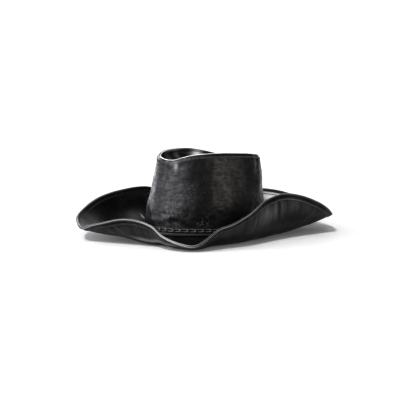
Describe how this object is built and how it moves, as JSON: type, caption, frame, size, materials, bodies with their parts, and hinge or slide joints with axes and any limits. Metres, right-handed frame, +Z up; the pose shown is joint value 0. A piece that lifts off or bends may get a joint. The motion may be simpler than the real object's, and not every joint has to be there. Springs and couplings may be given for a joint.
{
  "type": "leather hat",
  "caption": "Leather western hat with a dished, pinched crown, a rolled brim with a folded edge strip, and a flat band with a laced braid.",
  "frame": {"origin": "centre of the bottom face of the hat's box, on the surface the brim rests on", "axes": "+Z up, the front of the hat towards -Y, the wearer's left towards +X"},
  "size_m": [0.3282, 0.3822, 0.1258],
  "materials": {
    "crown_leather": "waxed black leather, satin, scuffed grey on the raised grain",
    "tip_leather": "waxed black leather, satin, wrinkled round the seam",
    "brim_leather": "waxed black leather, satin, browner on the underside",
    "binding_leather": "thin black leather strip, slightly glossy, rubbed grey on its fold",
    "band_leather": "flat black leather strap, satin",
    "braid_leather": "polished black leather lace",
    "thread": "waxed black thread"
  },
  "bodies": {
    "root": {"crown_wall": "crown_leather", "crown_tip": "tip_leather", "brim": "brim_leather", "brim_binding": "binding_leather", "hat_band": "band_leather", "band_braid": "braid_leather"}
  },
  "joints": []
}
